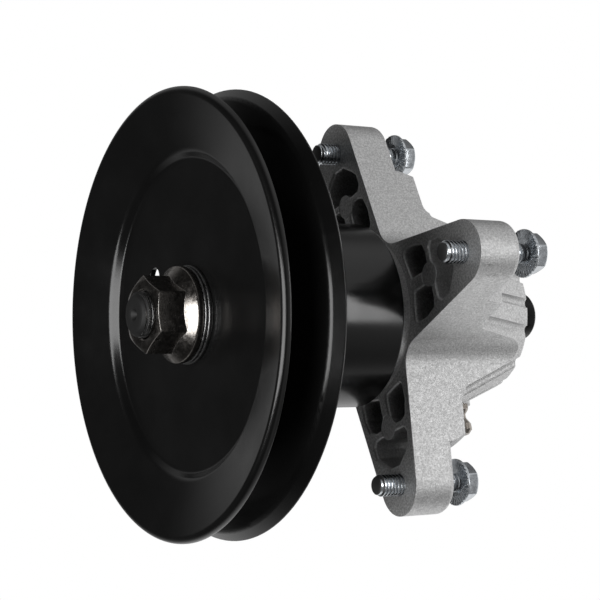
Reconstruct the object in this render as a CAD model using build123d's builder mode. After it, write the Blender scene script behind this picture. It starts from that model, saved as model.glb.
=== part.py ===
import os
from math import atan2, cos, degrees, hypot, radians, sin, sqrt, tan

from build123d import *

os.makedirs("parts", exist_ok=True)

# Mower deck spindle: a four-arm bearing housing with a belt pulley on its shaft.
# The shaft axis is Z, the pulley end is up, and Z = 0 is the face of the arms
# that meets the deck. Arms lie along +X, +Y, -X and -Y.

# Clearances
snug = 0.02
running = 0.3
thread_gap = 0.03

# Pulley
sheet = 2.0
pulley_radius = 79.375
web_back = 71.4
web_front = web_back + sheet
web_flat_radius = 55.0
step_width = 2.0
step_height = 2.1
front_cone_angle = 13.5
rear_cone_angle = 22.8
front_lip_width = 4.4
rear_lip_width = 3.2
front_lip_angle = 45.0
rear_lip_angle = 50.0
rear_ring_inner = 40.0
rear_flat_radius = 56.0
bend_radius = 2.0
edge_rounding = 0.45
web_hole_radius = 3.5
web_hole_circle = 29.7
web_hole_angle = 133.0

# Hub and nut stack
hub_flange_radius = 17.0
hub_flange_thickness = 3.6
hub_boss_radius = 12.0
hub_washer_radius = 17.4
hub_washer_thickness = 1.6
spring_washer_radius = 17.2
spring_washer_height = 1.65
spring_washer_dish = 0.35
washer_bore = 8.2
nut_flange_radius = 17.1
nut_flange_edge = 2.3
nut_flange_rise = 2.8
nut_across_flats = 23.8
nut_height = 15.05
nut_crown = 1.2
nut_corner_angle = 15.6

# Shaft
shaft_radius = 10.0
shaft_thread_radius = 7.94
shaft_top = 95.1
shaft_shoulder = 72.4
shaft_chamfer = 1.6
collar_radius = 13.0
collar_height = 5.0
stub_radius = 8.77
stub_length = 16.3
blade_bolt_radius = 4.0
blade_bolt_depth = 24.0

# Dust cup
cup_radius = 33.4
cup_height = 62.5
cup_corner = 4.0
cup_base = 65.8

# Bearings
bearing_bore = 10.0
bearing_outer = 23.5
bearing_width = 14.0
ball_radius = 3.97
ball_circle = 16.75
ball_count = 8
groove_radius = ball_radius + running
inner_race_outer = 13.2
outer_race_inner = 20.4
race_corner = 0.9
cage_inner = 15.4
cage_outer = 18.1
seal_thickness = 1.0
seal_inset = 0.4
upper_bearing_bottom = 46.6
lower_bearing_bottom = -50.5

# Housing casting
arm_count = 4
bolt_circle = 64.3
arm_root_radius = 22.8
arm_tip_radius = 11.4
valley_rounding = 9.5
draft = 1.0
pad_depth = 17.5
pad_rounding = 2.5
root_depth = 23.5
step_outer = 54.3
step_inner = 52.2
root_flat_radius = 39.2
end_depth = 53.5
end_radius = 27.4
end_rounding = 1.6
neck_radius = 28.8
neck_top = 64.0
bearing_seat = bearing_outer + snug
mid_bore = 20.8
flute_radius = 1.75
flute_depth = 1.6
flute_start = 34.3
flute_place = 4.75
side_flute_place = 14.0

# Core pockets in each arm: U runs out along the arm, V across it
inner_pocket_depth = 18.0
outer_pocket_depth = 13.5
pocket_corner_rounding = 1.0
pocket_rim_rounding = 1.0
ejector_disc_radius = 4.3
ejector_disc_place = 43.0
ejector_disc_drop = 0.2
ejector_ring_width = 0.35
ejector_ring_depth = 0.5

# Retaining ring and lower shield
ring_groove_radius = 24.9
ring_groove_width = 1.3
ring_width = 1.2
ring_inner = 22.0
shield_thickness = 1.1
shield_bore = collar_radius + running

# Deck bolts: how far each stands out of its arm, and how its head is turned
bolt_radius = 3.97
bolt_core_radius = 3.6
bolt_hole_relief = 0.25
bolt_length = 34.0
bolt_flange_radius = 8.55
bolt_flange_thickness = 1.7
bolt_across_flats = 12.7
bolt_head_height = 6.9
bolt_head_rounding = 0.9
bolt_stand_out = {0: 8.4, 90: 8.3, 180: 8.6, 270: 9.8}
bolt_head_turn = {0: 2, 90: 34, 180: 25, 270: 38}

# Grease fitting in the -Y arm
fitting_height = -33.0
fitting_angle = 270
fitting_across_flats = 6.35
fitting_hex_start = 35.6
fitting_hex_end = 37.4
fitting_thread_radius = 2.9
fitting_thread_start = 28.5
fitting_tip = 46.4
fitting_bore = 0.9
fitting_ball_radius = 1.2
fitting_boss_radius = 4.4


def section(corners):
    """Closed section on the XZ plane from (radius, height, rounding) corners."""
    with BuildSketch(Plane.XZ) as profile:
        with BuildLine():
            Polyline(*[(r, z) for r, z, rounding in corners], close=True)
        make_face()
        for r, z, rounding in corners:
            if rounding:
                corner = profile.vertices().sort_by_distance((r, z))[0]
                fillet(corner, radius=rounding)
    return profile.sketch


def turned(corners, mode=Mode.ADD):
    """Turn a section about the shaft axis."""
    revolve(section(corners), axis=Axis.Z, mode=mode)


def ring(inner, outer, bottom, top, mode=Mode.ADD):
    """Plain ring or, with no inner radius, a disc."""
    turned([(inner, bottom, 0), (outer, bottom, 0), (outer, top, 0), (inner, top, 0)], mode)


def shifted(points, distance):
    """Points of an open outline moved sideways, with mitred corners."""
    moved = []
    for i, (r, z) in enumerate(points):
        before = points[max(i - 1, 0)]
        after = points[min(i + 1, len(points) - 1)]
        first = Vector(r - before[0], z - before[1], 0)
        second = Vector(after[0] - r, after[1] - z, 0)
        if i == 0:
            first = second
        if i == len(points) - 1:
            second = first
        first = first.normalized()
        second = second.normalized()
        across = Vector(-first.Y - second.Y, first.X + second.X, 0)
        reach = 2 * distance / across.dot(across)
        moved.append((r + across.X * reach, z + across.Y * reach))
    return moved


def formed_sheet(points, thickness):
    """Section of a bent sheet: the outline through the points and its other side."""
    last = len(points) - 1
    near = []
    far = []
    for i, (here, there) in enumerate(zip(points, shifted(points, thickness))):
        roundings = (0, 0)
        if i == last:
            roundings = (edge_rounding, edge_rounding)
        elif i:
            before = Vector(*here) - Vector(*points[i - 1])
            after = Vector(*points[i + 1]) - Vector(*here)
            roundings = (bend_radius, bend_radius + abs(thickness))
            if before.cross(after).Z * thickness > 0:
                roundings = roundings[::-1]
        near.append((*here, roundings[0]))
        far.append((*there, roundings[1]))
    return near + far[::-1]


def hex_block(across_flats, bottom, top, angle=0, crown=0.0):
    """Hexagon prism along Z, with its upper corners turned off by a cone."""
    corner_radius = across_flats / sqrt(3)
    with BuildPart() as block:
        with BuildSketch(Plane.XY.offset(bottom)):
            RegularPolygon(radius=corner_radius, side_count=6, rotation=angle)
        extrude(amount=top - bottom)
        if crown:
            flat_radius = across_flats / 2 - crown
            drop = (corner_radius - flat_radius) * tan(radians(30))
            turned(
                [
                    (0, bottom, 0),
                    (corner_radius + 1, bottom, 0),
                    (corner_radius + 1, top - drop - tan(radians(30)), 0),
                    (flat_radius, top, 0),
                    (0, top, 0),
                ],
                mode=Mode.INTERSECT,
            )
    return block.part


# Housing casting

end_slope = (root_flat_radius - end_radius) / (end_depth - root_depth)

with BuildSketch() as arm_plan:
    Circle(arm_root_radius)
    with Locations((bolt_circle, 0)):
        Circle(arm_tip_radius)
    make_hull()

with BuildSketch() as star_plan:
    with PolarLocations(0, arm_count):
        add(arm_plan.sketch)
    valleys = star_plan.vertices().filter_by(lambda v: hypot(v.X, v.Y) < bolt_circle / 2)
    fillet(valleys, radius=valley_rounding)

with BuildPart() as pads:
    add(star_plan.sketch)
    extrude(amount=-pad_depth, taper=draft)
    fillet(pads.faces().sort_by(Axis.Z)[0].edges(), radius=pad_rounding)

with BuildPart() as root:
    add(star_plan.sketch)
    extrude(amount=-end_depth, taper=draft)
    turned(
        [
            (0, 0, 0),
            (step_outer, 0, 0),
            (step_outer, -pad_depth, 0),
            (step_inner, -root_depth, 0),
            (root_flat_radius, -root_depth, 3.0),
            (end_radius, -end_depth, end_rounding),
            (0, -end_depth, 0),
        ],
        mode=Mode.INTERSECT,
    )

# Core pocket plans, drawn for the arm along +X
with BuildSketch() as inner_pocket:
    with BuildLine():
        Polyline(
            (31.9, 2.6), (30.3, 9.0), (29.9, 12.7), (31.2, 13.5), (36.5, 13.4),
            (41.6, 11.6), (42.8, 8.5), (42.6, 4.6), (40.0, 2.4),
            close=True,
        )
    make_face()
    fillet(inner_pocket.vertices(), radius=pocket_corner_rounding)
    mirror(about=Plane.XZ)

with BuildSketch() as outer_pocket:
    with BuildLine():
        Polyline(
            (45.4, -6.5), (45.6, -9.3), (47.4, -10.9), (51.5, -10.3), (53.9, -7.8), (57.5, -2.8),
            (57.5, 2.8), (53.9, 7.8), (51.5, 10.3), (47.4, 10.9), (45.6, 9.3), (45.4, 6.5),
            close=True,
        )
    make_face()
    fillet(outer_pocket.vertices(), radius=pocket_corner_rounding)

with BuildPart() as inner_core:
    add(inner_pocket.sketch)
    extrude(amount=-inner_pocket_depth, taper=2 * draft)

with BuildPart() as outer_core:
    add(outer_pocket.sketch)
    extrude(amount=-outer_pocket_depth, taper=2 * draft)


def flute_line(across):
    """Axis of one flute on the end cone: where it starts, and its way down."""
    start_radius = hypot(flute_start, across)
    start_height = -root_depth - (root_flat_radius - start_radius) / end_slope
    last_height = -end_depth - 2 * flute_radius
    last_radius = root_flat_radius + (last_height + root_depth) * end_slope
    last_out = sqrt(last_radius**2 - across**2)
    lift = flute_radius - flute_depth
    start = Vector(flute_start + lift, across, start_height + flute_radius)
    return start, Vector(last_out + lift, across, last_height) - start


# The outer flute on each side runs out through the side of the arm
with BuildPart() as flute_cutter:
    for across in (flute_place, side_flute_place):
        start, way = flute_line(across)
        with Locations(Plane(origin=start, x_dir=(0, 1, 0), z_dir=way)):
            Cylinder(flute_radius, way.length, align=(Align.CENTER, Align.CENTER, Align.MIN))
            Sphere(flute_radius)
    start, way = flute_line(side_flute_place)
    with Locations(Plane(origin=start, x_dir=(0, 1, 0), z_dir=way)):
        Box(
            arm_root_radius - side_flute_place,
            2 * flute_radius,
            way.length,
            align=(Align.MIN, Align.CENTER, Align.MIN),
        )
        Cylinder(
            flute_radius,
            arm_root_radius - side_flute_place,
            rotation=(0, 90, 0),
            align=(Align.CENTER, Align.CENTER, Align.MIN),
        )
    mirror(about=Plane.XZ)

fitting_direction = Vector(cos(radians(fitting_angle)), sin(radians(fitting_angle)), 0)
fitting_plane = Plane(
    origin=(0, 0, fitting_height),
    x_dir=(0, 0, 1),
    z_dir=fitting_direction,
)


def is_pocket_rim(edge):
    """True for the edges of the core pockets on the deck faces."""
    middle = edge.position_at(0.5)
    out = hypot(middle.X, middle.Y)
    turn = (degrees(atan2(middle.Y, middle.X)) + 45) % 90 - 45
    across = out * sin(radians(turn))
    along = out * cos(radians(turn))
    return 29.5 < along < 58 and abs(across) < 14.2


with BuildPart() as housing_casting:
    add(root.part)
    add(pads.part)
    ring(0, neck_radius, -1, neck_top)
    chamfer(housing_casting.edges().group_by(Axis.Z)[-1], length=0.8)
    with PolarLocations(0, arm_count):
        add(flute_cutter.part, mode=Mode.SUBTRACT)
        add(inner_core.part, mode=Mode.SUBTRACT)
        add(outer_core.part, mode=Mode.SUBTRACT)
    rims = housing_casting.edges().filter_by_position(Axis.Z, -0.01, 0.01)
    rims = rims.filter_by(lambda e: e.length > 0.01 and is_pocket_rim(e))
    fillet(rims, radius=pocket_rim_rounding)
    with PolarLocations(0, arm_count):
        with Locations((ejector_disc_place, 0, -ejector_ring_depth)):
            Cylinder(
                ejector_disc_radius + ejector_ring_width,
                2 * ejector_ring_depth,
                align=(Align.CENTER, Align.CENTER, Align.MIN),
                mode=Mode.SUBTRACT,
            )
    with PolarLocations(0, arm_count):
        with Locations((ejector_disc_place, 0, -inner_pocket_depth - 1)):
            Cylinder(
                ejector_disc_radius,
                inner_pocket_depth + 1 - ejector_disc_drop,
                align=(Align.CENTER, Align.CENTER, Align.MIN),
            )
    with BuildSketch(fitting_plane.offset(fitting_hex_start)) as fitting_seat:
        Circle(fitting_boss_radius)
    extrude(amount=mid_bore + 3 - fitting_hex_start)
    extrude(fitting_seat.sketch, amount=fitting_tip - fitting_hex_start, mode=Mode.SUBTRACT)
    with Locations(Plane.XY):
        with PolarLocations(bolt_circle, arm_count):
            CounterSinkHole(
                bolt_core_radius + snug,
                bolt_radius + bolt_hole_relief,
                counter_sink_angle=90,
            )
    ring(0, mid_bore, -end_depth - 1, neck_top + 1, Mode.SUBTRACT)
    ring(0, bearing_seat, upper_bearing_bottom, neck_top + 1, Mode.SUBTRACT)
    ring(0, bearing_seat, -end_depth - 1, lower_bearing_bottom + bearing_width, Mode.SUBTRACT)
    groove_bottom = upper_bearing_bottom + bearing_width + 0.1
    ring(0, ring_groove_radius, groove_bottom, groove_bottom + ring_groove_width, Mode.SUBTRACT)
    with BuildSketch(fitting_plane.offset(fitting_thread_start)):
        Circle(fitting_thread_radius)
    extrude(amount=30, mode=Mode.SUBTRACT)
    with BuildSketch(fitting_plane):
        Circle(fitting_bore)
    extrude(amount=fitting_thread_start + 1, mode=Mode.SUBTRACT)
housing_casting.part.label = "housing_casting"
export_step(housing_casting.part, "parts/housing_casting.step")

# Pulley

# The rounded edge of each lip reaches the pulley's radius
lip_corner = pulley_radius + edge_rounding * (sqrt(2) - 1)

step_radius = web_flat_radius + step_width
front_lip_start = pulley_radius - front_lip_width
front_cone_top = web_front + step_height
front_cone_top += (front_lip_start - step_radius) * tan(radians(front_cone_angle))
front_lip_end = lip_corner - sheet * sin(radians(front_lip_angle))
front_lip_rise = (front_lip_end - front_lip_start) * tan(radians(front_lip_angle))
front_outline = [
    (hub_boss_radius + snug, web_front),
    (web_flat_radius, web_front),
    (step_radius, web_front + step_height),
    (front_lip_start, front_cone_top),
    (front_lip_end, front_cone_top + front_lip_rise),
]

with BuildPart() as pulley_front_disc:
    turned(formed_sheet(front_outline, -sheet))
    with Locations(Plane.XY.offset(web_front)):
        with PolarLocations(web_hole_circle, 1, start_angle=web_hole_angle):
            Hole(web_hole_radius)
pulley_front_disc.part.label = "pulley_front_disc"
export_step(pulley_front_disc.part, "parts/pulley_front_disc.step")

rear_lip_start = pulley_radius - rear_lip_width
rear_cone_end = web_back - (rear_lip_start - rear_flat_radius) * tan(radians(rear_cone_angle))
rear_lip_drop = (lip_corner - rear_lip_start) * tan(radians(rear_lip_angle))
rear_outline = [
    (rear_ring_inner, web_back),
    (rear_flat_radius, web_back),
    (rear_lip_start, rear_cone_end),
    (lip_corner, rear_cone_end - rear_lip_drop),
]

with BuildPart() as pulley_rear_disc:
    turned(formed_sheet(rear_outline, -sheet))
pulley_rear_disc.part.label = "pulley_rear_disc"
export_step(pulley_rear_disc.part, "parts/pulley_rear_disc.step")

# Hub and nut stack

with BuildPart() as pulley_hub:
    ring(0, hub_flange_radius, web_back - hub_flange_thickness, web_back)
    ring(0, hub_boss_radius, web_back - 1, web_front)
    ring(0, shaft_radius + snug, web_back - 10, web_front + 1, Mode.SUBTRACT)
pulley_hub.part.label = "pulley_hub"
export_step(pulley_hub.part, "parts/pulley_hub.step")

washer_top = web_front + hub_washer_thickness
with BuildPart() as hub_washer:
    turned(
        [
            (washer_bore, web_front, 0),
            (hub_washer_radius, web_front, 0.3),
            (hub_washer_radius, washer_top, 0.3),
            (washer_bore, washer_top, 0),
        ]
    )
hub_washer.part.label = "hub_washer"
export_step(hub_washer.part, "parts/hub_washer.step")

nut_seat = washer_top + spring_washer_height
with BuildPart() as spring_washer:
    turned(
        [
            (washer_bore, washer_top, 0),
            (spring_washer_radius, washer_top, 0),
            (spring_washer_radius, nut_seat - spring_washer_dish, 0.4),
            (washer_bore, nut_seat, 0),
        ]
    )
spring_washer.part.label = "spring_washer"
export_step(spring_washer.part, "parts/spring_washer.step")

nut_top = nut_seat + nut_height
with BuildPart() as flange_nut:
    turned(
        [
            (0, nut_seat, 0),
            (nut_flange_radius, nut_seat, 0.4),
            (nut_flange_radius, nut_seat + nut_flange_edge, 0.3),
            (nut_across_flats / 2, nut_seat + nut_flange_edge + nut_flange_rise, 0),
            (0, nut_seat + nut_flange_edge + nut_flange_rise, 0),
        ]
    )
    add(hex_block(nut_across_flats, nut_seat + 1, nut_top, nut_corner_angle, crown=nut_crown))
    ring(0, shaft_thread_radius + thread_gap, nut_seat - 1, nut_top + 1, Mode.SUBTRACT)
    chamfer(
        flange_nut.edges().filter_by(GeomType.CIRCLE).filter_by(
            lambda e: abs(e.radius - shaft_thread_radius - thread_gap) < 0.01
        ),
        length=0.55,
    )
flange_nut.part.label = "flange_nut"
export_step(flange_nut.part, "parts/flange_nut.step")

# Shaft, with the threads left plain

collar_top = lower_bearing_bottom
collar_bottom = collar_top - collar_height
shaft_bottom = collar_bottom - stub_length
with BuildPart() as spindle_shaft:
    turned(
        [
            (0, shaft_bottom, 0),
            (stub_radius - 1.2, shaft_bottom, 0),
            (stub_radius, shaft_bottom + 1.2, 0),
            (stub_radius, collar_bottom, 0),
            (collar_radius - 0.6, collar_bottom, 0),
            (collar_radius, collar_bottom + 0.6, 0),
            (collar_radius, collar_top, 0),
            (bearing_bore - snug, collar_top, 0),
            (bearing_bore - snug, shaft_shoulder - 1, 0),
            (bearing_bore - 1, shaft_shoulder, 0),
            (shaft_thread_radius, shaft_shoulder, 0),
            (shaft_thread_radius, shaft_top - shaft_chamfer, 0),
            (shaft_thread_radius - shaft_chamfer, shaft_top, 0),
            (2.2, shaft_top, 0),
            (0, shaft_top - 2.2, 0),
        ]
    )
    with Locations(Plane(origin=(0, 0, shaft_bottom), z_dir=(0, 0, -1))):
        CounterSinkHole(blade_bolt_radius, blade_bolt_radius + 0.8, depth=blade_bolt_depth)
spindle_shaft.part.label = "spindle_shaft"
export_step(spindle_shaft.part, "parts/spindle_shaft.step")

# Dust cup over the neck

cup_mouth = cup_base + sheet - cup_height
with BuildPart() as dust_cup:
    turned(
        [
            (shaft_radius + snug, cup_base, 0),
            (cup_radius - sheet, cup_base, cup_corner - sheet),
            (cup_radius - sheet, cup_mouth, 0.8),
            (cup_radius, cup_mouth, 0.8),
            (cup_radius, cup_base + sheet, cup_corner),
            (shaft_radius + snug, cup_base + sheet, 0),
        ]
    )
dust_cup.part.label = "dust_cup"
export_step(dust_cup.part, "parts/dust_cup.step")

# Spacers on the shaft between the inner races and the cup

upper_bearing_top = upper_bearing_bottom + bearing_width
lower_bearing_top = lower_bearing_bottom + bearing_width
with BuildPart() as upper_spacer:
    ring(bearing_bore, collar_radius, upper_bearing_top, cup_base)
upper_spacer.part.label = "upper_spacer"
export_step(upper_spacer.part, "parts/upper_spacer.step")

with BuildPart() as bearing_spacer_tube:
    turned(
        [
            (bearing_bore, lower_bearing_top, 0),
            (inner_race_outer, lower_bearing_top, 0.4),
            (inner_race_outer, upper_bearing_bottom, 0.4),
            (bearing_bore, upper_bearing_bottom, 0),
        ]
    )
bearing_spacer_tube.part.label = "bearing_spacer_tube"
export_step(bearing_spacer_tube.part, "parts/bearing_spacer_tube.step")

# Ball bearings, one from each end of the housing

for place, bottom in (("upper", upper_bearing_bottom), ("lower", lower_bearing_bottom)):
    top = bottom + bearing_width
    middle = bottom + bearing_width / 2

    with BuildPart() as ball_track:
        with BuildSketch(Plane.XZ):
            with Locations((ball_circle, middle)):
                Circle(groove_radius)
        revolve(axis=Axis.Z)

    with BuildPart() as outer_race:
        turned(
            [
                (outer_race_inner, bottom, 0),
                (bearing_outer, bottom, race_corner),
                (bearing_outer, top, race_corner),
                (outer_race_inner, top, 0),
            ]
        )
        add(ball_track.part, mode=Mode.SUBTRACT)
    outer_race.part.label = f"{place}_outer_race"
    export_step(outer_race.part, f"parts/{place}_outer_race.step")

    with BuildPart() as inner_race:
        turned(
            [
                (bearing_bore, bottom, race_corner),
                (inner_race_outer, bottom, 0),
                (inner_race_outer, top, 0),
                (bearing_bore, top, race_corner),
            ]
        )
        add(ball_track.part, mode=Mode.SUBTRACT)
    inner_race.part.label = f"{place}_inner_race"
    export_step(inner_race.part, f"parts/{place}_inner_race.step")

    with BuildPart() as balls:
        with Locations((0, 0, middle)):
            with PolarLocations(ball_circle, ball_count):
                Sphere(ball_radius)
    balls.part.label = f"{place}_balls"
    export_step(balls.part, f"parts/{place}_balls.step")

    with BuildPart() as cage:
        ring(cage_inner, cage_outer, middle - ball_radius - 0.9, middle + 1.6)
        with Locations((0, 0, middle)):
            with PolarLocations(ball_circle, ball_count):
                Sphere(ball_radius + 0.12, mode=Mode.SUBTRACT)
    cage.part.label = f"{place}_cage"
    export_step(cage.part, f"parts/{place}_cage.step")

    with BuildPart() as bearing_seals:
        for seal_bottom in (bottom + seal_inset, top - seal_inset - seal_thickness):
            ring(
                inner_race_outer + running,
                outer_race_inner - snug,
                seal_bottom,
                seal_bottom + seal_thickness,
            )
    bearing_seals.part.label = f"{place}_bearing_seals"
    export_step(bearing_seals.part, f"parts/{place}_bearing_seals.step")

# Retaining ring above the upper bearing, with two eyes at its gap

ring_bottom = groove_bottom + 0.05
with BuildPart() as retaining_ring:
    with BuildSketch(Plane.XY.offset(ring_bottom)):
        Circle(ring_groove_radius - 0.1)
        Circle(ring_inner, mode=Mode.SUBTRACT)
        with Locations((ring_inner + 1.2, 0)):
            Rectangle(6, 7, mode=Mode.SUBTRACT)
        with PolarLocations(ring_inner - 0.4, 2, start_angle=-13, angular_range=52):
            Circle(2.2)
            Circle(1.0, mode=Mode.SUBTRACT)
    extrude(amount=ring_width)
retaining_ring.part.label = "retaining_ring"
export_step(retaining_ring.part, "parts/retaining_ring.step")

# Lower dust shield, pressed into the end of the housing

shield_bottom = lower_bearing_bottom - 1.3 - shield_thickness
with BuildPart() as lower_dust_shield:
    ring(shield_bore, bearing_outer, shield_bottom, shield_bottom + shield_thickness)
    ring(
        bearing_outer - 1.2,
        bearing_outer,
        shield_bottom,
        lower_bearing_bottom,
    )
lower_dust_shield.part.label = "lower_dust_shield"
export_step(lower_dust_shield.part, "parts/lower_dust_shield.step")

# Thread-forming deck bolts, each as far out of the face as the photo shows.
# The stretch that has cut its thread in the casting is a little slimmer.

finished_bolts = {}
for angle, stand_out in bolt_stand_out.items():
    to_face = bolt_length - stand_out
    with BuildPart() as deck_bolt:
        turned(
            [
                (0, 0, 0),
                (bolt_flange_radius, 0, 0.4),
                (bolt_flange_radius, -bolt_flange_thickness + 0.5, 0.3),
                (bolt_across_flats / 2, -bolt_flange_thickness - 0.4, 0),
                (0, -bolt_flange_thickness - 0.4, 0),
            ]
        )
        head = hex_block(
            bolt_across_flats,
            1,
            bolt_head_height,
            -bolt_head_turn[angle],
            crown=bolt_head_rounding,
        )
        add(head.rotate(Axis.X, 180))
        turned(
            [
                (0, -1, 0),
                (bolt_core_radius, -1, 0),
                (bolt_core_radius, to_face, 0),
                (bolt_radius, to_face, 0),
                (bolt_radius, bolt_length - 1.4, 0),
                (bolt_radius - 1.0, bolt_length, 0),
                (0, bolt_length, 0),
            ]
        )
    finished_bolts[angle] = deck_bolt.part

with BuildPart() as deck_bolts:
    for angle, stand_out in bolt_stand_out.items():
        with PolarLocations(bolt_circle, 1, start_angle=angle):
            with Locations((0, 0, stand_out - bolt_length)):
                add(finished_bolts[angle])
deck_bolts.part.label = "deck_bolts"
export_step(deck_bolts.part, "parts/deck_bolts.step")

# Grease fitting, drawn along its own axis and then laid out along the arm

with BuildPart() as fitting_drawn:
    turned(
        [
            (0, fitting_thread_start + 0.3, 0),
            (fitting_thread_radius - 0.5, fitting_thread_start + 0.3, 0),
            (fitting_thread_radius - snug, fitting_thread_start + 0.8, 0),
            (fitting_thread_radius - snug, fitting_hex_start, 0),
            (3.1, fitting_hex_end, 0),
            (1.9, fitting_hex_end + 1.5, 0.4),
            (1.9, fitting_tip - 6.0, 0.4),
            (3.25, fitting_tip - 3.6, 0),
            (3.25, fitting_tip - 1.5, 0),
            (1.9, fitting_tip, 0),
            (0, fitting_tip, 0),
        ]
    )
    add(hex_block(fitting_across_flats, fitting_hex_start, fitting_hex_end, crown=0.2))
    ring(0, fitting_bore, 0, fitting_tip + 1, Mode.SUBTRACT)
    with Locations((0, 0, fitting_tip - fitting_ball_radius)):
        Sphere(fitting_ball_radius + snug, mode=Mode.SUBTRACT)

with BuildPart() as grease_fitting:
    with Locations(fitting_plane):
        add(fitting_drawn.part)
grease_fitting.part.label = "grease_fitting"
export_step(grease_fitting.part, "parts/grease_fitting.step")

with BuildPart() as grease_fitting_ball:
    with Locations(fitting_plane.offset(fitting_tip - fitting_ball_radius)):
        Sphere(fitting_ball_radius)
grease_fitting_ball.part.label = "grease_fitting_ball"
export_step(grease_fitting_ball.part, "parts/grease_fitting_ball.step")
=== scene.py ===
from math import cos, pi, radians, sin, sqrt, tan

import bmesh
import bpy
from mathutils import Matrix, Vector


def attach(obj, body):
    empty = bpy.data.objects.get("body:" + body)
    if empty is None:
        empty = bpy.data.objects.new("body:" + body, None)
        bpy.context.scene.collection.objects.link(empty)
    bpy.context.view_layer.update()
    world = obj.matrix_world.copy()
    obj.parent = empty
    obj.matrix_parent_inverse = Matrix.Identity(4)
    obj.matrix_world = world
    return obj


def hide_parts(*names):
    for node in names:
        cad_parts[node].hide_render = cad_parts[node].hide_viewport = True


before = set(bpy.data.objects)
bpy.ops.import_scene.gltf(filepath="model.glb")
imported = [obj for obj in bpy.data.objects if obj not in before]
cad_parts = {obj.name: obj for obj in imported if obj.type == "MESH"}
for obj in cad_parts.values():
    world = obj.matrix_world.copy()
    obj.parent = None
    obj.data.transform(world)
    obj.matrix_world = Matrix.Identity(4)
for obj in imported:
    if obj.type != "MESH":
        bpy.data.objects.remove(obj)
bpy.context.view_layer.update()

MM = 0.001

# The part as the record and part.py give it, in millimetres; angles in degrees

BOLT_CIRCLE = 64.3
BOLT_LENGTH = 34.0
BOLT_RADIUS = 3.97
# By the angle of the arm
BOLT_STAND_OUT = {0: 8.4, 90: 8.3, 180: 8.6, 270: 9.8}
BOLT_HEAD_TURN = {0: 2, 90: 34, 180: 25, 270: 38}
HEX_CORNER_LOSS = 0.12

# The bolts and the shaft both have 18 turns to the inch
THREAD_PITCH = 25.4 / 18
THREAD_DEPTH = 0.68
THREAD_CREST = 0.2
THREAD_FOOT = 0.65
THREAD_SUNK = 0.08
THREAD_LEAST = 0.5

SHAFT_TOP = 95.1
SHAFT_BOTTOM = -71.8
SHAFT_THREAD_RADIUS = 7.94
SHAFT_THREAD_START = 72.4
JOURNAL_RADIUS = 9.98
COLLAR_RADIUS = 13.0
COLLAR_TOP = -50.5
COLLAR_BOTTOM = -55.5
STUB_RADIUS = 8.77
TAPPED_RADIUS = 3.95

SHEET = 2.0
WEB_FRONT = 73.4
WEB_HOLE = 3.5
WEB_HOLE_CIRCLE = 29.7
WEB_HOLE_ANGLE = 133.0
WEB_HOLE_TOOL = 20.0
# Corners of the front disc's visible side as (r, z), and the radii of its bends
FRONT_DISC_SECTION = ((12.02, 73.4), (54.9, 73.4), (57.3, 76.1), (79.37, 82.6), (79.37, 79.4))
FRONT_DISC_BENDS = (1.6, 4.0, 2.2)
DISC_EDGE = 0.45

WASHER_BORE = 8.2
HUB_WASHER_RADIUS = 17.4
HUB_WASHER_TOP = 75.0
SPRING_WASHER_RADIUS = 17.2
SPRING_WASHER_DISH = 0.35

NUT_SEAT = 76.65
NUT_TOP = 91.7
NUT_BORE = 8.1
NUT_ACROSS = 23.8
NUT_FLANGE = 17.1
NUT_FLANGE_RISE = 5.1
NUT_CORNER = 15.6

# Places for the materials, in metres. The scuffs are the middles of two faint rub marks on
# the side of the arm that points to the camera, and their scale is one over their half sizes.

SCUFFS = ((0.0728, -0.0079, -0.0042), (0.0692, -0.0106, -0.0072))
SCUFF_SCALE = (800, 800, 250)
DECK_FACE = 0.0
STUB_PAINT_TOP = -0.055
# Heights above which the ends that look up get a rougher finish and a painted shade, a darker
# colour.
SHAFT_END_DULL_AND_SHADED = 0.0929
BOLT_END_DULL_AND_SHADED = 0.0081


# Objects and meshes

def add_object(name, data):
    """A new object in the scene."""
    made = bpy.data.objects.new(name, data)
    bpy.context.scene.collection.objects.link(made)
    return made


def shade(mesh, sharp_angle):
    """Smooth shading with the edges over an angle kept sharp."""
    mesh.polygons.foreach_set("use_smooth", [True] * len(mesh.polygons))
    mesh.set_sharp_from_angle(angle=radians(sharp_angle))


def mesh_piece(name, verts, faces, sharp_angle):
    """A piece from vertices in millimetres."""
    mesh = bpy.data.meshes.new(name)
    mesh.from_pydata([Vector(v) * MM for v in verts], [], faces)
    shade(mesh, sharp_angle)
    mesh.update()
    return add_object(name, mesh)


def plain(r, z):
    """A row that is a true circle. A row is a function of the angle that gives (r, z)."""
    return lambda angle: (r, z)


def turned(rows, steps):
    """The vertices of some rows, each row a ring round the axis."""
    verts = []
    for row in rows:
        for i in range(steps):
            angle = 2 * pi * i / steps
            r, z = row(angle)
            verts.append((r * cos(angle), r * sin(angle), z))
    return verts


def turned_solid(rows, steps):
    """Vertices and faces of a solid; the first and last rows are points on the axis."""
    verts = [(0, 0, rows[0](0)[1])] + turned(rows[1:-1], steps) + [(0, 0, rows[-1](0)[1])]
    faces = [(0, 1 + (i + 1) % steps, 1 + i) for i in range(steps)]
    for k in range(len(rows) - 3):
        low = 1 + k * steps
        high = low + steps
        for i in range(steps):
            j = (i + 1) % steps
            faces.append((low + i, low + j, high + j, high + i))
    top = len(verts) - 1
    last = top - steps
    faces += [(top, last + i, last + (i + 1) % steps) for i in range(steps)]
    return verts, faces


def turned_loop(rows, steps):
    """Vertices and faces of a ring with a bore; its rows run outward on the top side."""
    faces = []
    for k in range(len(rows)):
        low = k * steps
        high = (k + 1) % len(rows) * steps
        for i in range(steps):
            j = (i + 1) % steps
            faces.append((low + j, low + i, high + i, high + j))
    return turned(rows, steps), faces


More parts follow.
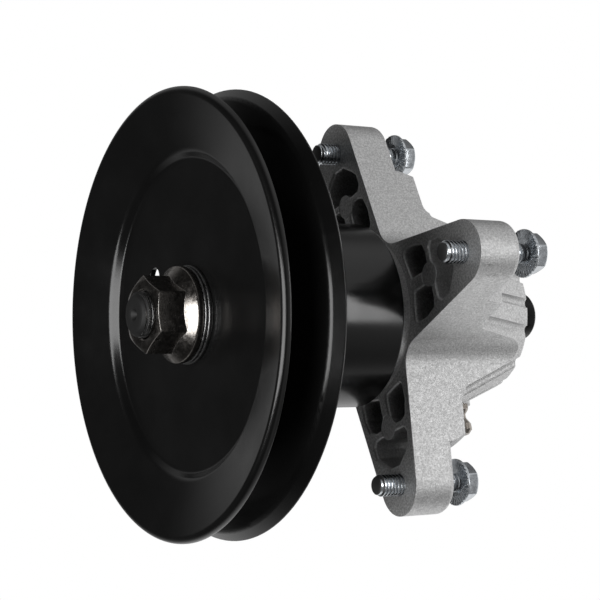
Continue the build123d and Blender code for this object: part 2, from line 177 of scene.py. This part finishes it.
def thread_ridge(radius, start, end, chamfer_start, chamfer_slope, steps):
    """A right-hand thread: one closed ridge wound round its core, cut back by an end chamfer."""
    root = radius - THREAD_DEPTH
    low = start + THREAD_FOOT
    count = int((end - THREAD_FOOT - low) / THREAD_PITCH * steps)
    section = (
        (False, -THREAD_FOOT), (True, -THREAD_CREST), (True, THREAD_CREST), (False, THREAD_FOOT),
    )
    verts = []
    for i in range(count + 1):
        angle = 2 * pi * i / steps
        fade = min(1, i / steps, 4 * (count - i) / steps)
        for at_crest, side in section:
            z = low + THREAD_PITCH * i / steps + side
            limit = radius - max(z - chamfer_start, 0) * chamfer_slope
            r = root + THREAD_DEPTH * fade if at_crest else root - THREAD_SUNK
            r = min(r, max(limit, THREAD_LEAST))
            verts.append((r * cos(angle), r * sin(angle), z))
    faces = [(0, 1, 2, 3), tuple(4 * count + k for k in (3, 2, 1, 0))]
    for i in range(count):
        for k in range(4):
            here = 4 * i + k
            beside = 4 * i + (k + 1) % 4
            faces.append((here, here + 4, beside + 4, beside))
    return verts, faces


def joined(first, second):
    """Two lots of vertices and faces as one."""
    shift = len(first[0])
    moved = [tuple(i + shift for i in face) for face in second[1]]
    return first[0] + second[0], first[1] + moved


def hexagon(across_flats, angle):
    """Radius of a hexagon at an angle, with its corners on the multiples of 60 degrees."""
    within = (angle + pi / 6) % (pi / 3) - pi / 6
    corner = across_flats / sqrt(3) - HEX_CORNER_LOSS
    return min(across_flats / 2 / cos(pi / 6 - abs(within)), corner)


# Deck bolts: threaded shank, serrated flange, hexagon head pointing down

def bolt_shape():
    """One bolt with its flange's bearing face at nought and its thread pointing up."""
    across = 12.7
    head = 6.9
    face = across / 2 - 0.9
    flange = 8.55
    teeth = 32
    ramp_share = 0.8
    root = BOLT_RADIUS - THREAD_DEPTH

    def hex_top(inset, drop):
        def row(angle):
            r = hexagon(across - 2 * inset, angle)
            return r, -head + max(r - face, 0) * tan(radians(32)) + drop
        return row

    def hex_root(angle):
        r = hexagon(across, angle)
        return r, -2.1 + (r - across / 2) * 0.32

    def serrated(r, depth):
        def row(angle):
            ramp = min((angle * teeth / (2 * pi)) % 1 / ramp_share, 1)
            return r, -depth * (1 - ramp)
        return row

    rows = [
        plain(0, -head + 0.3),
        plain(face - 1.4, -head + 0.3),
        plain(face - 0.6, -head + 0.03),
        plain(face, -head),
        hex_top(0.2, -0.03),
        hex_top(0.05, 0.05),
        hex_top(0.0, 0.2),
        hex_root,
        plain(7.35, -1.85),
        plain(7.7, -1.72),
        plain(flange - 0.25, -1.3),
        plain(flange - 0.06, -1.15),
        plain(flange, -0.9),
        plain(flange, -0.6),
        serrated(flange - 0.12, 0.5),
        serrated(6.3, 0.42),
        serrated(5.2, 0.1),
        plain(4.6, -0.05),
        plain(root + 0.3, -0.05),
        plain(root, 0.25),
        plain(root, BOLT_LENGTH - 0.35),
        plain(root - 0.25, BOLT_LENGTH - 0.08),
        plain(root - 0.4, BOLT_LENGTH),
        plain(0, BOLT_LENGTH),
    ]
    ridge = thread_ridge(
        BOLT_RADIUS, start=0.4, end=BOLT_LENGTH - 0.05,
        chamfer_start=BOLT_LENGTH - 1.4, chamfer_slope=0.8, steps=72,
    )
    return joined(turned_solid(rows, steps=256), ridge)


def make_bolts():
    """The same bolt in each arm, with its own stand-out and turn."""
    verts, faces = bolt_shape()
    for angle, stand_out in BOLT_STAND_OUT.items():
        piece = mesh_piece(f"deck_bolt_{angle}", verts, faces, sharp_angle=30)
        place = Matrix.Rotation(radians(angle), 4, "Z")
        place @= Matrix.Translation(Vector((BOLT_CIRCLE, 0, stand_out - BOLT_LENGTH)) * MM)
        place @= Matrix.Rotation(radians(BOLT_HEAD_TURN[angle]), 4, "Z")
        piece.data.transform(place)
        piece.data.materials.append(zinc)
        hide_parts("deck_bolts")
        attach(piece, "housing")


# Shaft: threaded end with a centre dimple, collar, stub and tapped end

def make_shaft():
    """The whole shaft, from its tapped end to its threaded end."""
    root = SHAFT_THREAD_RADIUS - THREAD_DEPTH
    rows = [
        plain(0, SHAFT_BOTTOM + 26.0),
        plain(TAPPED_RADIUS, SHAFT_BOTTOM + 23.8),
        plain(TAPPED_RADIUS, SHAFT_BOTTOM + 0.9),
        plain(4.8, SHAFT_BOTTOM),
        plain(7.5, SHAFT_BOTTOM),
        plain(7.9, SHAFT_BOTTOM + 0.15),
        plain(STUB_RADIUS - 0.12, SHAFT_BOTTOM + 0.95),
        plain(STUB_RADIUS, SHAFT_BOTTOM + 1.3),
        plain(STUB_RADIUS, COLLAR_BOTTOM - 0.1),
        plain(9.0, COLLAR_BOTTOM),
        plain(COLLAR_RADIUS - 0.6, COLLAR_BOTTOM),
        plain(COLLAR_RADIUS - 0.15, COLLAR_BOTTOM + 0.2),
        plain(COLLAR_RADIUS, COLLAR_BOTTOM + 0.6),
        plain(COLLAR_RADIUS, COLLAR_TOP),
        plain(JOURNAL_RADIUS, COLLAR_TOP),
        plain(JOURNAL_RADIUS, SHAFT_THREAD_START - 1.0),
        plain(9.0, SHAFT_THREAD_START),
        plain(root, SHAFT_THREAD_START),
        plain(root, SHAFT_TOP - 0.8),
        plain(6.5, SHAFT_TOP - 0.1),
        plain(6.3, SHAFT_TOP),
        plain(2.3, SHAFT_TOP),
        plain(2.1, SHAFT_TOP - 0.1),
        plain(0.3, SHAFT_TOP - 2.0),
        plain(0, SHAFT_TOP - 2.1),
    ]
    ridge = thread_ridge(
        SHAFT_THREAD_RADIUS, start=SHAFT_THREAD_START + 0.2, end=SHAFT_TOP - 0.05,
        chamfer_start=SHAFT_TOP - 1.5, chamfer_slope=0.95, steps=96,
    )
    whole = joined(turned_solid(rows, steps=144), ridge)
    piece = mesh_piece("spindle_shaft_threaded", *whole, sharp_angle=30)
    piece.data.materials.append(shaft_look)
    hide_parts("spindle_shaft")
    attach(piece, "spindle")


# Front pulley disc: a flat web, a soft step, a cone and a rim rolled back

def bent(points, radii, turn_step=4):
    """A polyline in (r, z) with each inner corner rounded to its own radius."""
    path = [Vector(points[0])]
    for before, corner, after, radius in zip(points, points[1:], points[2:], radii):
        corner = Vector(corner)
        back = (Vector(before) - corner).normalized()
        ahead = (Vector(after) - corner).normalized()
        turn = pi - back.angle(ahead)
        reach = radius * tan(turn / 2)
        middle = corner + (back + ahead).normalized() * radius / cos(turn / 2)
        first = corner + back * reach - middle
        last = corner + ahead * reach - middle
        steps = max(int(turn / radians(turn_step)), 2)
        for k in range(steps + 1):
            path.append(middle + first.slerp(last, k / steps).normalized() * radius)
    return path + [Vector(points[-1])]


def make_front_disc():
    """The formed sheet: its visible side, a rounded edge and the same side set back."""
    path = bent(FRONT_DISC_SECTION, FRONT_DISC_BENDS)
    inner = []
    for k, point in enumerate(path):
        ahead = path[min(k + 1, len(path) - 1)] - path[max(k - 1, 0)]
        across = Vector((-ahead.y, ahead.x)).normalized()
        inner.append(point - across * SHEET)
    ahead = (path[-1] - path[-2]).normalized()
    across = Vector((-ahead.y, ahead.x))
    middle = path[-1] - across * SHEET / 2
    half_turn = [radians(a) for a in range(0, 181, 20)]
    rim = [
        middle + across * cos(a) * SHEET / 2 + ahead * sin(a) * DISC_EDGE for a in half_turn
    ]
    rows = [plain(*point) for point in path[:-1] + rim + inner[-2::-1]]
    piece = mesh_piece("pulley_front_disc_formed", *turned_loop(rows, steps=256), sharp_angle=40)
    cut_web_hole(piece)
    piece.data.materials.append(paint)
    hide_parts("pulley_front_disc")
    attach(piece, "spindle")


def cut_web_hole(piece):
    """The one round hole in the pulley's web, cut through the mesh for good."""
    mesh = bpy.data.meshes.new("web_hole_tool")
    rod = bmesh.new()
    bmesh.ops.create_cone(
        rod, cap_ends=True, segments=64,
        radius1=WEB_HOLE * MM, radius2=WEB_HOLE * MM, depth=WEB_HOLE_TOOL * MM,
    )
    rod.to_mesh(mesh)
    rod.free()
    tool = add_object("web_hole_tool", mesh)
    place = Matrix.Rotation(radians(WEB_HOLE_ANGLE), 4, "Z")
    tool.matrix_world = place @ Matrix.Translation(Vector((WEB_HOLE_CIRCLE, 0, WEB_FRONT)) * MM)
    cut = piece.modifiers.new("web_hole", "BOOLEAN")
    cut.operation = "DIFFERENCE"
    cut.solver = "EXACT"
    cut.object = tool
    bpy.context.view_layer.update()
    shape = piece.evaluated_get(bpy.context.evaluated_depsgraph_get())
    whole = bpy.data.meshes.new_from_object(shape)
    piece.modifiers.clear()
    piece.data = whole
    shade(whole, sharp_angle=30)
    bpy.data.objects.remove(tool)


# What holds the pulley: two washers and a flange nut

def make_washer(node, radius, low, high, dish):
    """A washer with rounded edges whose top sinks by its dish toward the rim."""
    rim = high - dish
    rows = [
        plain(WASHER_BORE, high),
        plain(radius - 0.4, rim + dish * 0.05),
        plain(radius - 0.12, rim - 0.12),
        plain(radius, rim - 0.4),
        plain(radius, low + 0.3),
        plain(radius - 0.1, low + 0.1),
        plain(radius - 0.3, low),
        plain(WASHER_BORE, low),
    ]
    piece = mesh_piece(f"{node}_turned", *turned_loop(rows, steps=192), sharp_angle=50)
    piece.data.materials.append(dark_steel)
    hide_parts(node)
    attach(piece, "spindle")


def make_nut():
    """A hexagon with a chamfered top on a coned flange."""
    side = NUT_ACROSS / 2
    cone_top = NUT_SEAT + NUT_FLANGE_RISE
    cone_slope = 2.8 / (NUT_FLANGE - side)

    def hex_row(inset, drop):
        def row(angle):
            r = hexagon(NUT_ACROSS - 2 * inset, angle - radians(NUT_CORNER))
            return r, NUT_TOP - (r - side + 0.3) * tan(radians(20)) - drop
        return row

    def hex_root(angle):
        r = hexagon(NUT_ACROSS, angle - radians(NUT_CORNER))
        return r, cone_top - (r - side) * cone_slope

    rows = [
        plain(NUT_BORE, NUT_TOP - 0.9),
        plain(NUT_BORE + 0.8, NUT_TOP - 0.05),
        plain(NUT_BORE + 1.0, NUT_TOP),
        plain(side - 0.45, NUT_TOP),
        plain(side - 0.3, NUT_TOP - 0.02),
        hex_row(0.12, 0.0),
        hex_row(0.02, 0.1),
        hex_row(0.0, 0.25),
        hex_root,
        plain(NUT_FLANGE - 0.35, NUT_SEAT + 2.5),
        plain(NUT_FLANGE - 0.1, NUT_SEAT + 2.25),
        plain(NUT_FLANGE, NUT_SEAT + 1.9),
        plain(NUT_FLANGE, NUT_SEAT + 0.5),
        plain(NUT_FLANGE - 0.15, NUT_SEAT + 0.15),
        plain(NUT_FLANGE - 0.4, NUT_SEAT),
        plain(NUT_BORE, NUT_SEAT),
    ]
    piece = mesh_piece("flange_nut_hex", *turned_loop(rows, steps=240), sharp_angle=30)
    piece.data.materials.append(nut_look)
    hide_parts("flange_nut")
    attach(piece, "spindle")


# Materials

class Look:
    """A Principled material, with short ways to wire patterns into it."""

    def __init__(self, name, base, metallic=0.0, roughness=0.5):
        self.material = bpy.data.materials.new(name)
        self.material.use_nodes = True
        self.tree = self.material.node_tree
        self.shader = self.tree.nodes["Principled BSDF"]
        self.put(self.shader.inputs["Base Color"], (*base, 1))
        self.put(self.shader.inputs["Metallic"], metallic)
        self.put(self.shader.inputs["Roughness"], roughness)
        self.place = self.node("ShaderNodeTexCoord").outputs["Object"]

    def node(self, kind, inputs=None, **settings):
        made = self.tree.nodes.new(kind)
        for key, value in settings.items():
            setattr(made, key, value)
        for key, value in (inputs or {}).items():
            self.put(made.inputs[key], value)
        return made

    def put(self, socket, value):
        """Link an output, or set a plain value."""
        if isinstance(value, bpy.types.NodeSocket):
            self.tree.links.new(value, socket)
        else:
            socket.default_value = value

    def vector(self, operation, *values):
        """A vector operation whose result is a vector."""
        made = self.node("ShaderNodeVectorMath", dict(enumerate(values)), operation=operation)
        return made.outputs["Vector"]

    def measure(self, operation, *values):
        """A vector operation whose result is a number."""
        made = self.node("ShaderNodeVectorMath", dict(enumerate(values)), operation=operation)
        return made.outputs["Value"]

    def math(self, operation, a, b):
        return self.node("ShaderNodeMath", {0: a, 1: b}, operation=operation).outputs[0]

    def upward(self, vector):
        """The Z of a vector."""
        return self.node("ShaderNodeSeparateXYZ", {0: vector}).outputs["Z"]

    def normal(self):
        return self.node("ShaderNodeNewGeometry").outputs["Normal"]

    def bevel(self, radius, samples):
        return self.node("ShaderNodeBevel", {"Radius": radius}, samples=samples).outputs[0]

    def noise(self, scale, detail=3.0, rough=0.6, stretch=None):
        place = self.vector("MULTIPLY", self.place, stretch) if stretch else self.place
        inputs = {"Vector": place, "Scale": scale, "Detail": detail, "Roughness": rough}
        return self.node("ShaderNodeTexNoise", inputs).outputs["Fac"]

    def spread(self, value, low, high, to_low=0.0, to_high=1.0, kind="LINEAR"):
        """A value's range low to high laid over another range, and held beyond it."""
        inputs = {
            "Value": value, "From Min": low, "From Max": high, "To Min": to_low, "To Max": to_high,
        }
        return self.node("ShaderNodeMapRange", inputs, interpolation_type=kind).outputs["Result"]

    def mix(self, factor, a, b):
        """From colour a to colour b."""
        made = self.node("ShaderNodeMix", data_type="RGBA")
        self.put(made.inputs["Factor"], factor)
        self.put(made.inputs[6], a)
        self.put(made.inputs[7], b)
        return made.outputs[2]

    def edge(self, radius):
        """One along edges and nought on open faces."""
        dot = self.measure("DOT_PRODUCT", self.bevel(radius, 8), self.normal())
        return self.spread(self.math("SUBTRACT", 1.0, dot), 0.02, 0.25)

    def bump(self, height, distance, strength, bevel=None):
        inputs = {"Height": height, "Distance": distance, "Strength": strength}
        if bevel:
            inputs["Normal"] = self.bevel(bevel, 6)
        self.put(self.shader.inputs["Normal"], self.node("ShaderNodeBump", inputs).outputs[0])

    def color(self, value):
        self.put(self.shader.inputs["Base Color"], value)

    def rough(self, value):
        self.put(self.shader.inputs["Roughness"], value)


def grey(level, warm=0.0):
    """A grey, with more red and less blue the warmer it is."""
    return (level * (1 + warm), level, level * (1 - warm), 1)


def cast_aluminium():
    """Grainy, blotchy casting with edges painted bright (partly casting flash and wear, partly a
    painted highlight), a speckled deck face and faint rub marks.
    """
    look = Look("cast_aluminium", (0.5, 0.5, 0.5), metallic=0.85, roughness=0.5)
    grain = look.noise(1500, 3.0, 0.7)
    blotch = look.noise(260, 4.0, 0.65)
    body = look.mix(look.spread(blotch, 0.3, 0.7), grey(0.5), grey(0.58))
    body = look.mix(look.spread(grain, 0.4, 0.68), body, grey(0.84))

    facing_up = look.spread(look.upward(look.normal()), 0.9, 0.98)
    at_deck = look.spread(look.upward(look.place), DECK_FACE - 0.0006, DECK_FACE - 0.0001)
    speck = look.mix(look.spread(look.noise(1300, 3.0, 0.7), 0.4, 0.62), grey(0.5), grey(0.85))
    body = look.mix(look.math("MULTIPLY", facing_up, at_deck), body, speck)
    # Edges painted lighter: partly casting flash and wear, partly a painted highlight on rounded
    # edges.
    body = look.mix(look.edge(0.0005), body, grey(0.82))

    smudge = look.noise(1700, 5.0, 0.8, stretch=(1, 1, 0.5))
    smudge = look.spread(smudge, 0.46, 0.62, 0.0, 0.8)
    for centre in SCUFFS:
        away = look.vector("MULTIPLY", look.vector("SUBTRACT", look.place, centre), SCUFF_SCALE)
        near = look.spread(look.measure("LENGTH", away), 1.0, 0.3)
        body = look.mix(look.math("MULTIPLY", near, smudge), body, grey(0.1))

    look.color(body)
    look.rough(look.spread(look.noise(700, 3.0, 0.7), 0.3, 0.7, 0.42, 0.58))
    relief = look.math("ADD", grain, look.math("MULTIPLY", blotch, 0.4))
    look.bump(relief, 0.00016, 0.7, bevel=0.0004)
    return look.material


def black_paint():
    """Glossy black with a slight orange peel."""
    look = Look("black_paint", (0.004, 0.004, 0.0045), roughness=0.2)
    look.put(look.shader.inputs["IOR"], 1.5)
    look.rough(look.spread(look.noise(45, 3.0, 0.6), 0.3, 0.7, 0.17, 0.25))
    cloud = look.spread(look.noise(25, 4.0, 0.6), 0.35, 0.7)
    look.color(look.mix(cloud, grey(0.0042), grey(0.0058)))
    look.bump(look.noise(260, 2.0, 0.5), 0.000006, 1.0, bevel=0.0003)
    return look.material


def plated(
    name, low, high, rough=(0.2, 0.38), edge_highlight=None, edge_highlight_tint=0.0, edge=0.0003,
    dull_and_shaded_above=None, shaded_end_level=0.04, black_below=None,
):
    """A plated or bare steel: cloudy colour and fine scratches.

    It may have edges painted brighter as a painted highlight, faces that look up above a height
    made rougher and painted darker as a painted shade, and black paint below another.
    """
    grain = 900
    fade = 0.0002
    paint_fade = 0.0003
    look = Look(name, low[:3], metallic=1.0)
    body = look.mix(look.spread(look.noise(grain, 4.0, 0.7), 0.35, 0.65), low, high)
    # Painted highlight: edges painted lighter, standing in for light caught on chamfers and
    # rounded edges.
    if edge_highlight:
        body = look.mix(look.edge(edge), body, grey(edge_highlight, edge_highlight_tint))
    roughness = look.spread(look.noise(grain * 0.6, 3.0, 0.6), 0.3, 0.7, *rough)
    height = look.upward(look.place)
    # Painted shade: faces that look up above the height are made rougher and painted darker.
    if dull_and_shaded_above:
        facing_up = look.spread(look.upward(look.normal()), 0.55, 0.6)
        end = look.math("MULTIPLY", facing_up, look.spread(height, dull_and_shaded_above, dull_and_shaded_above + fade))
        body = look.mix(end, body, grey(shaded_end_level))
        roughness = look.math("MAXIMUM", roughness, look.math("MULTIPLY", end, 0.62))
    if black_below:
        above = look.spread(height, black_below, black_below + paint_fade)
        body = look.mix(above, grey(0.012), body)
    look.color(body)
    look.rough(roughness)
    look.bump(look.noise(grain * 2.5, 2.0, 0.6), 0.00003, 0.35, bevel=0.00012)
    return look.material


def rubber():
    """Dark seal rubber."""
    look = Look("seal_rubber", (0.02, 0.02, 0.02), roughness=0.6)
    look.color(look.mix(look.noise(600), grey(0.015), grey(0.03)))
    look.bump(look.noise(2500), 0.00003, 0.4)
    return look.material


cast = cast_aluminium()
paint = black_paint()
seal = rubber()
# The edge levels below set painted highlights on the edges.
dark_steel = plated("dark_steel", grey(0.2), grey(0.32), edge_highlight=0.6)
nut_look = plated(
    "nut_nickel", grey(0.18, 0.08), grey(0.36, 0.06), (0.14, 0.28),
    edge_highlight=0.95, edge_highlight_tint=0.02, edge=0.0006,
)
# The dull settings below also paint shade: the ends that look up are painted darker.
shaft_look = plated(
    "shaft_steel", grey(0.12), grey(0.22), (0.2, 0.4),
    edge_highlight=0.6, dull_and_shaded_above=SHAFT_END_DULL_AND_SHADED, black_below=STUB_PAINT_TOP,
)
bearing = plated("bearing_steel", grey(0.55), grey(0.66), (0.1, 0.2))
cage = plated("cage_steel", grey(0.4), grey(0.52), (0.25, 0.4))
spring = plated("spring_steel", grey(0.09), grey(0.16), (0.35, 0.5))
zinc = plated(
    "zinc_plate", (0.48, 0.51, 0.54, 1), (0.68, 0.71, 0.74, 1), (0.12, 0.26),
    edge_highlight=0.9, dull_and_shaded_above=BOLT_END_DULL_AND_SHADED, shaded_end_level=0.18,
)
fitting = plated(
    "fitting_plate", grey(0.24, 0.12), grey(0.36, 0.1), (0.18, 0.3),
    edge_highlight=0.6, edge_highlight_tint=0.05,
)

LOOKS = {
    "housing_casting": cast,
    "dust_cup": paint,
    "pulley_front_disc": paint,
    "pulley_rear_disc": paint,
    "pulley_hub": dark_steel,
    "hub_washer": dark_steel,
    "spring_washer": dark_steel,
    "flange_nut": nut_look,
    "spindle_shaft": shaft_look,
    "upper_spacer": dark_steel,
    "bearing_spacer_tube": dark_steel,
    "upper_outer_race": bearing,
    "upper_inner_race": bearing,
    "upper_balls": bearing,
    "upper_cage": cage,
    "upper_bearing_seals": seal,
    "lower_outer_race": bearing,
    "lower_inner_race": bearing,
    "lower_balls": bearing,
    "lower_cage": cage,
    "lower_bearing_seals": seal,
    "retaining_ring": spring,
    "lower_dust_shield": paint,
    "deck_bolts": zinc,
    "grease_fitting": fitting,
    "grease_fitting_ball": bearing,
}

for node, look in LOOKS.items():
    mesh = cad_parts[node].data
    mesh.materials.clear()
    mesh.materials.append(look)

make_bolts()
make_shaft()
make_front_disc()
make_nut()
make_washer("hub_washer", HUB_WASHER_RADIUS, WEB_FRONT, HUB_WASHER_TOP, 0.0)
make_washer("spring_washer", SPRING_WASHER_RADIUS, HUB_WASHER_TOP, NUT_SEAT, SPRING_WASHER_DISH)


# Studio, in metres

PHOTO_TURN = -20.2
AMBIENT_GREY = 0.9
AMBIENT_STRENGTH = 0.5
FLOOR_HEIGHT = -0.55
FLOOR_HALF = 0.34
TENT_RADIUS = 2.5
LAMP_DISTANCE = 1.2


def photo_direction(across, along, axial):
    """A direction given in the photo's own X and Y, turned into the part's."""
    turn = Matrix.Rotation(radians(PHOTO_TURN), 3, "Z")
    return (turn @ Vector((across, along, axial))).normalized()


def white_when_seen(tree, shader, white, output):
    """Plain white for camera, glossy and transmission rays, and the shader for the rest."""
    nodes = tree.nodes
    path = nodes.new("ShaderNodeLightPath")
    seen = path.outputs["Is Camera Ray"]
    for ray in ("Is Glossy Ray", "Is Transmission Ray"):
        either = nodes.new("ShaderNodeMath")
        either.operation = "MAXIMUM"
        tree.links.new(seen, either.inputs[0])
        tree.links.new(path.outputs[ray], either.inputs[1])
        seen = either.outputs[0]
    mix = nodes.new("ShaderNodeMixShader")
    tree.links.new(seen, mix.inputs[0])
    tree.links.new(shader.outputs[0], mix.inputs[1])
    tree.links.new(white.outputs[0], mix.inputs[2])
    tree.links.new(mix.outputs[0], nodes[output].inputs["Surface"])


def make_world():
    """White to look at, and a lower ambient light."""
    world = bpy.data.worlds.new("white_studio")
    bpy.context.scene.world = world
    world.use_nodes = True
    nodes = world.node_tree.nodes
    ambient = nodes["Background"]
    ambient.inputs["Color"].default_value = (AMBIENT_GREY, AMBIENT_GREY, AMBIENT_GREY, 1)
    ambient.inputs["Strength"].default_value = AMBIENT_STRENGTH
    white = nodes.new("ShaderNodeBackground")
    white.inputs["Color"].default_value = (1, 1, 1, 1)
    white_when_seen(world.node_tree, ambient, white, "World Output")


def make_floor(height, half):
    """A pale square under the object, white to look at."""
    mesh = bpy.data.meshes.new("floor")
    corners = [(-half, -half), (half, -half), (half, half), (-half, half)]
    mesh.from_pydata([(x, y, height) for x, y in corners], [], [(0, 1, 2, 3)])
    floor = add_object("floor", mesh)
    material = bpy.data.materials.new("pale_floor")
    material.use_nodes = True
    nodes = material.node_tree.nodes
    shader = nodes["Principled BSDF"]
    shader.inputs["Base Color"].default_value = (0.85, 0.85, 0.85, 1)
    shader.inputs["Roughness"].default_value = 0.8
    white = nodes.new("ShaderNodeEmission")
    white_when_seen(material.node_tree, shader, white, "Material Output")
    mesh.materials.append(material)


def make_tent(radius):
    """The dark studio round the object, seen in reflections and never by the camera."""
    mesh = bpy.data.meshes.new("studio_tent")
    ball = bmesh.new()
    bmesh.ops.create_uvsphere(ball, u_segments=48, v_segments=24, radius=radius)
    ball.to_mesh(mesh)
    ball.free()
    tent = add_object("studio_tent", mesh)
    tent.visible_camera = False
    tent.visible_shadow = False
    look = Look("studio_tent", (0, 0, 0))
    way = look.vector("NORMALIZE", look.place)
    height = look.upward(way)
    level = look.spread(height, 0.44, 0.15, 0.02, 0.3)
    level = look.math("MINIMUM", level, look.spread(height, -0.6, 0.0, 0.15, 0.3))
    # Glows round a direction: the nearness where each starts, and how bright it gets
    for direction, start, bright in (
        ((0.857, 0, -0.515), 0.72, 0.15),
        ((-0.42, -0.75, -0.52), 0.62, 0.75),
        ((0.41, 0.75, -0.52), 0.7, 0.45),
    ):
        near = look.measure("DOT_PRODUCT", way, photo_direction(*direction))
        glow = look.spread(near, start, 1.0, 0.0, bright, "SMOOTHSTEP")
        level = look.math("ADD", level, glow)
    light = look.node("ShaderNodeEmission", {"Strength": level})
    look.tree.links.new(light.outputs[0], look.tree.nodes["Material Output"].inputs["Surface"])
    mesh.materials.append(look.material)


def make_lamp(name, direction, width, length, level):
    """A rectangular lamp that faces the object, its long side along the photo's upright."""
    light = bpy.data.lights.new(name, "AREA")
    light.shape = "RECTANGLE"
    light.size = width
    light.size_y = length
    light.energy = level * pi * width * length
    light.cycles.max_bounces = 8
    lamp = add_object(name, light)
    along = photo_direction(0, 1, 0)
    up = (along - direction * along.dot(direction)).normalized()
    side = up.cross(direction)
    turn = Matrix((side, up, direction)).transposed()
    lamp.matrix_world = Matrix.Translation(direction * LAMP_DISTANCE) @ turn.to_4x4()
    lamp.visible_camera = False


make_world()
make_floor(FLOOR_HEIGHT, FLOOR_HALF)
make_tent(TENT_RADIUS)
make_lamp("front_softbox", photo_direction(0.2, -0.06, 1.0), width=1.1, length=0.8, level=5.4)
make_lamp("rear_strip", photo_direction(0.83, 0.14, -0.515), width=0.16, length=0.6, level=6.6)


# Camera, solved from the photo, in metres

CAMERA_PLACE = Vector((0.62956, -0.22909, 0.43293))
CAMERA_RIGHT = Vector((0.48749, -0.17224, -0.85597))
CAMERA_UP = Vector((0.34529, 0.93846, 0.00781))
CAMERA_BACK = Vector((0.80196, -0.29936, 0.51696))
FOCAL_PIXELS = 2174.4
PICTURE_PIXELS = 600
SENSOR_WIDTH = 36

lens = bpy.data.cameras.new("camera")
lens.sensor_width = SENSOR_WIDTH
lens.lens = SENSOR_WIDTH * FOCAL_PIXELS / PICTURE_PIXELS
camera = add_object("camera", lens)
axes = Matrix((CAMERA_RIGHT, CAMERA_UP, CAMERA_BACK)).transposed()
camera.matrix_world = Matrix.Translation(CAMERA_PLACE) @ axes.to_4x4()
bpy.context.scene.camera = camera
bpy.context.scene.view_settings.view_transform = "Standard"
